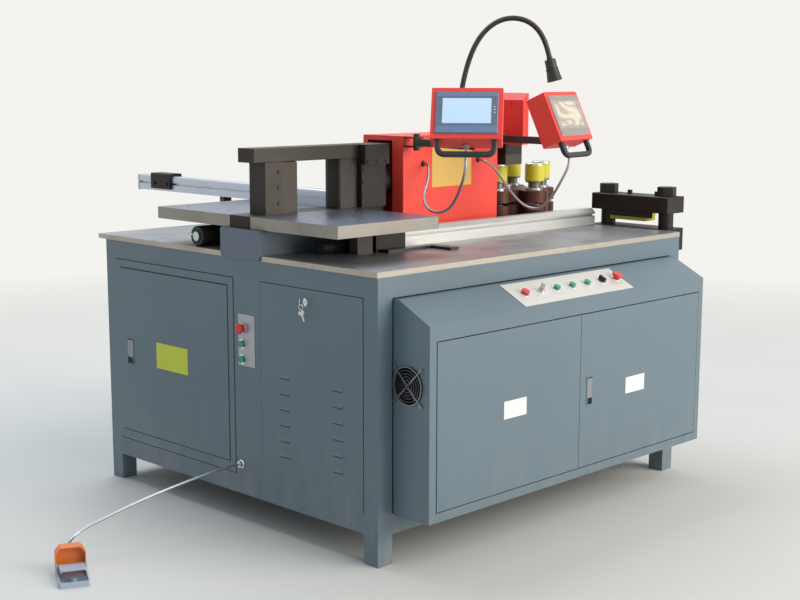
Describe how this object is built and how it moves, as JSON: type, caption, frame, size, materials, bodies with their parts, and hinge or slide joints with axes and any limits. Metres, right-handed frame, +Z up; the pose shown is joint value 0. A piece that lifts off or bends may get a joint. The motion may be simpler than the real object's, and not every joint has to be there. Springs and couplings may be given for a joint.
{
  "type": "busbar processing machine",
  "caption": "Cabinet machine that bends, punches and shears copper busbar, with an electrical box, swing-arm operator panels, a turret and a foot pedal.",
  "frame": {"origin": "middle of the front left foot, on the floor", "axes": "+X along the front towards the shear, +Y to the back, +Z up"},
  "size_m": [2.3539, 1.8815, 1.6282],
  "materials": {
    "frame": "satin powder coat",
    "side_panel": "satin powder coat",
    "tool_compartment": "satin powder coat",
    "tool_door": "satin powder coat",
    "vent_panel": "satin powder coat",
    "electrical_box": "satin powder coat",
    "front_door_left": "satin powder coat",
    "front_door_right": "satin powder coat",
    "bending_cover": "satin powder coat",
    "punch_cover": "satin powder coat",
    "left_panel": "satin powder coat",
    "right_panel": "satin powder coat",
    "hydraulic_unit": "satin powder coat",
    "bending_bed": "satin powder coat",
    "pedal_base": "satin powder coat",
    "left_arm": "satin powder coat",
    "right_arm": "satin powder coat",
    "bending_frame": "satin powder coat",
    "bending_cylinder": "satin powder coat",
    "punch_frame": "satin powder coat",
    "turret_upper_disc": "satin powder coat",
    "turret_lower_disc": "satin powder coat",
    "lamp": "satin powder coat",
    "shear_beam": "satin powder coat",
    "shear_base": "satin powder coat",
    "table_plate": "ground steel",
    "support_plates": "ground steel",
    "table_blocks": "ground steel",
    "bending_punch": "ground steel",
    "bending_ram": "ground steel",
    "punches": "ground steel",
    "working_punch": "ground steel",
    "punch_ram": "ground steel",
    "shear_columns": "ground steel",
    "pedal_treadle": "ground steel",
    "gauge_rail": "anodised",
    "gauge_carriage": "anodised",
    "fence": "anodised",
    "fan_guard": "polished",
    "tool_latch": "polished",
    "front_latch": "polished",
    "vent_lock": "polished",
    "key_switch": "polished",
    "left_conduit": "polished",
    "right_conduit": "polished",
    "pedal_conduit": "polished",
    "switchgear": "moulded",
    "fan_frame": "moulded",
    "fan_rotor": "moulded",
    "start_button": "moulded",
    "green_button_1": "moulded",
    "green_button_2": "moulded",
    "green_button_3": "moulded",
    "side_button_1": "moulded",
    "side_button_2": "moulded",
    "selector_knob": "moulded",
    "front_stop": "moulded",
    "side_stop": "moulded",
    "working_spring": "cast polyurethane",
    "punch_springs": "cast polyurethane"
  },
  "bodies": {
    "machine": {"frame": "frame", "table_plate": "table_plate", "side_panel": "side_panel", "tool_compartment": "tool_compartment", "electrical_box": "electrical_box", "switchgear": "switchgear", "fan_frame": "fan_frame", "fan_guard": "fan_guard", "bending_bed": "bending_bed", "support_plates": "support_plates", "table_blocks": "table_blocks", "bending_frame": "bending_frame", "bending_punch": "bending_punch", "bending_cylinder": "bending_cylinder", "bending_cover": "bending_cover", "gauge_rail": "gauge_rail", "fence": "fence", "punch_frame": "punch_frame", "punch_cover": "punch_cover", "shear_base": "shear_base", "hydraulic_unit": "hydraulic_unit", "lamp": "lamp", "pedal_base": "pedal_base", "pedal_conduit": "pedal_conduit", "left_conduit": "left_conduit", "right_conduit": "right_conduit"},
    "turret": {"turret_upper_disc": "turret_upper_disc", "turret_lower_disc": "turret_lower_disc", "working_spring": "working_spring", "punch_springs": "punch_springs"},
    "waiting_punches": {"punches": "punches"},
    "left_arm": {"left_arm": "left_arm", "left_panel": "left_panel"},
    "right_arm": {"right_arm": "right_arm", "right_panel": "right_panel"},
    "shear": {"shear_beam": "shear_beam", "shear_columns": "shear_columns"},
    "tool_door": {"tool_door": "tool_door"},
    "tool_latch": {"tool_latch": "tool_latch"},
    "vent_panel": {"vent_panel": "vent_panel"},
    "vent_lock": {"vent_lock": "vent_lock"},
    "front_door_left": {"front_door_left": "front_door_left"},
    "front_door_right": {"front_door_right": "front_door_right"},
    "front_latch": {"front_latch": "front_latch"},
    "fan_rotor": {"fan_rotor": "fan_rotor"},
    "start_button": {"start_button": "start_button"},
    "key_switch": {"key_switch": "key_switch"},
    "green_button_1": {"green_button_1": "green_button_1"},
    "green_button_2": {"green_button_2": "green_button_2"},
    "green_button_3": {"green_button_3": "green_button_3"},
    "selector_knob": {"selector_knob": "selector_knob"},
    "front_stop": {"front_stop": "front_stop"},
    "side_stop": {"side_stop": "side_stop"},
    "side_button_1": {"side_button_1": "side_button_1"},
    "side_button_2": {"side_button_2": "side_button_2"},
    "bending_ram": {"bending_ram": "bending_ram"},
    "gauge_carriage": {"gauge_carriage": "gauge_carriage"},
    "working_punch": {"working_punch": "working_punch"},
    "punch_ram": {"punch_ram": "punch_ram"},
    "pedal_treadle": {"pedal_treadle": "pedal_treadle"}
  },
  "joints": [
    {"name": "tool_door_hinge", "type": "hinge", "parent": "machine", "child": "tool_door", "pos_m": [-0.027, 0.657, 0.475], "axis": [0, 0, 1], "range_deg": [0, 105]},
    {"name": "tool_latch_pull", "type": "hinge", "parent": "tool_door", "child": "tool_latch", "pos_m": [-0.031, 1.191, 0.509], "axis": [0, 1, 0], "range_deg": [0, 35], "stiffness_Nm_per_rad": 0.05, "springref_deg": -5.73},
    {"name": "vent_panel_tilt", "type": "hinge", "parent": "machine", "child": "vent_panel", "pos_m": [-0.029, 0.26, 0.1533], "axis": [0, -1, 0], "range_deg": [0, 30]},
    {"name": "vent_lock_turn", "type": "hinge", "parent": "vent_panel", "child": "vent_lock", "pos_m": [-0.029, 0.276, 0.749], "axis": [1, 0, 0], "range_deg": [0, 90]},
    {"name": "front_door_left_hinge", "type": "hinge", "parent": "machine", "child": "front_door_left", "pos_m": [0.07, -0.168, 0.427], "axis": [0, 0, -1], "range_deg": [0, 110]},
    {"name": "front_door_right_hinge", "type": "hinge", "parent": "machine", "child": "front_door_right", "pos_m": [1.372, -0.168, 0.427], "axis": [0, 0, 1], "range_deg": [0, 110]},
    {"name": "front_latch_pull", "type": "hinge", "parent": "front_door_right", "child": "front_latch", "pos_m": [0.769, -0.172, 0.464], "axis": [-1, 0, 0], "range_deg": [0, 35], "stiffness_Nm_per_rad": 0.05, "springref_deg": -5.73},
    {"name": "fan_spin", "type": "hinge", "parent": "machine", "child": "fan_rotor", "pos_m": [0.055, -0.091, 0.543], "axis": [1, 0, 0], "continuous": true},
    {"name": "start_button_press", "type": "slide", "parent": "machine", "child": "start_button", "axis": [0, 0.4554, -0.8903], "range_m": [0, 0.003], "stiffness_N_per_m": 300, "springref_m": -0.001},
    {"name": "key_switch_turn", "type": "hinge", "parent": "machine", "child": "key_switch", "pos_m": [0.5935, -0.10956, 0.75605], "axis": [0, -0.4554, 0.8903], "range_deg": [-90, 0]},
    {"name": "green_button_1_press", "type": "slide", "parent": "machine", "child": "green_button_1", "axis": [0, 0.4554, -0.8903], "range_m": [0, 0.003], "stiffness_N_per_m": 300, "springref_m": -0.001},
    {"name": "green_button_2_press", "type": "slide", "parent": "machine", "child": "green_button_2", "axis": [0, 0.4554, -0.8903], "range_m": [0, 0.003], "stiffness_N_per_m": 300, "springref_m": -0.001},
    {"name": "green_button_3_press", "type": "slide", "parent": "machine", "child": "green_button_3", "axis": [0, 0.4554, -0.8903], "range_m": [0, 0.003], "stiffness_N_per_m": 300, "springref_m": -0.001},
    {"name": "selector_turn", "type": "hinge", "parent": "machine", "child": "selector_knob", "pos_m": [0.9035, -0.10956, 0.75605], "axis": [0, -0.4554, 0.8903], "range_deg": [-45, 45]},
    {"name": "front_stop_press", "type": "slide", "parent": "machine", "child": "front_stop", "axis": [0, 0.4554, -0.8903], "range_m": [0, 0.004]},
    {"name": "side_stop_press", "type": "slide", "parent": "machine", "child": "side_stop", "axis": [1, 0, 0], "range_m": [0, 0.004]},
    {"name": "side_button_1_press", "type": "slide", "parent": "machine", "child": "side_button_1", "axis": [1, 0, 0], "range_m": [0, 0.003], "stiffness_N_per_m": 300, "springref_m": -0.001},
    {"name": "side_button_2_press", "type": "slide", "parent": "machine", "child": "side_button_2", "axis": [1, 0, 0], "range_m": [0, 0.003], "stiffness_N_per_m": 300, "springref_m": -0.001},
    {"name": "bending_ram_slide", "type": "slide", "parent": "machine", "child": "bending_ram", "axis": [-1, 0, 0], "range_m": [0, 0.15]},
    {"name": "gauge_carriage_slide", "type": "slide", "parent": "machine", "child": "gauge_carriage", "axis": [0, -1, 0], "range_m": [0, 0.8]},
    {"name": "turret_turn", "type": "hinge", "parent": "machine", "child": "turret", "pos_m": [1.269, 0.62, 0.955], "axis": [0, 0, 1], "continuous": true},
    {"name": "punch_ram_slide", "type": "slide", "parent": "machine", "child": "punch_ram", "axis": [0, 0, -1], "range_m": [0, 0.025]},
    {"name": "working_punch_press", "type": "slide", "parent": "turret", "child": "working_punch", "axis": [0, 0, -1], "range_m": [0, 0.025], "stiffness_N_per_m": 8000, "springref_m": -0.002, "deforming": ["working_spring"]},
    {"name": "waiting_punches_press", "type": "slide", "parent": "turret", "child": "waiting_punches", "axis": [0, 0, -1], "range_m": [0, 0.025], "stiffness_N_per_m": 8000, "springref_m": -0.002, "deforming": ["punch_springs"]},
    {"name": "left_arm_swing", "type": "hinge", "parent": "machine", "child": "left_arm", "pos_m": [0.609, 0.441, 1.195], "axis": [0, 0, 1], "range_deg": [-30, 30], "deforming": ["left_conduit"]},
    {"name": "right_arm_swing", "type": "hinge", "parent": "machine", "child": "right_arm", "pos_m": [1.031, 0.441, 1.195], "axis": [0, 0, 1], "range_deg": [-30, 30], "deforming": ["right_conduit"]},
    {"name": "shear_beam_slide", "type": "slide", "parent": "machine", "child": "shear", "axis": [0, 0, -1], "range_m": [0, 0.02]},
    {"name": "pedal_press", "type": "hinge", "parent": "machine", "child": "pedal_treadle", "pos_m": [-0.68994, 0.54657, 0.03], "axis": [0.8894, -0.4571, 0], "range_deg": [0, 8], "stiffness_Nm_per_rad": 2, "springref_deg": -11.46}
  ],
  "couplings": [
    {"joint": "working_punch_press", "follows": "punch_ram_slide", "ratio": 1}
  ]
}
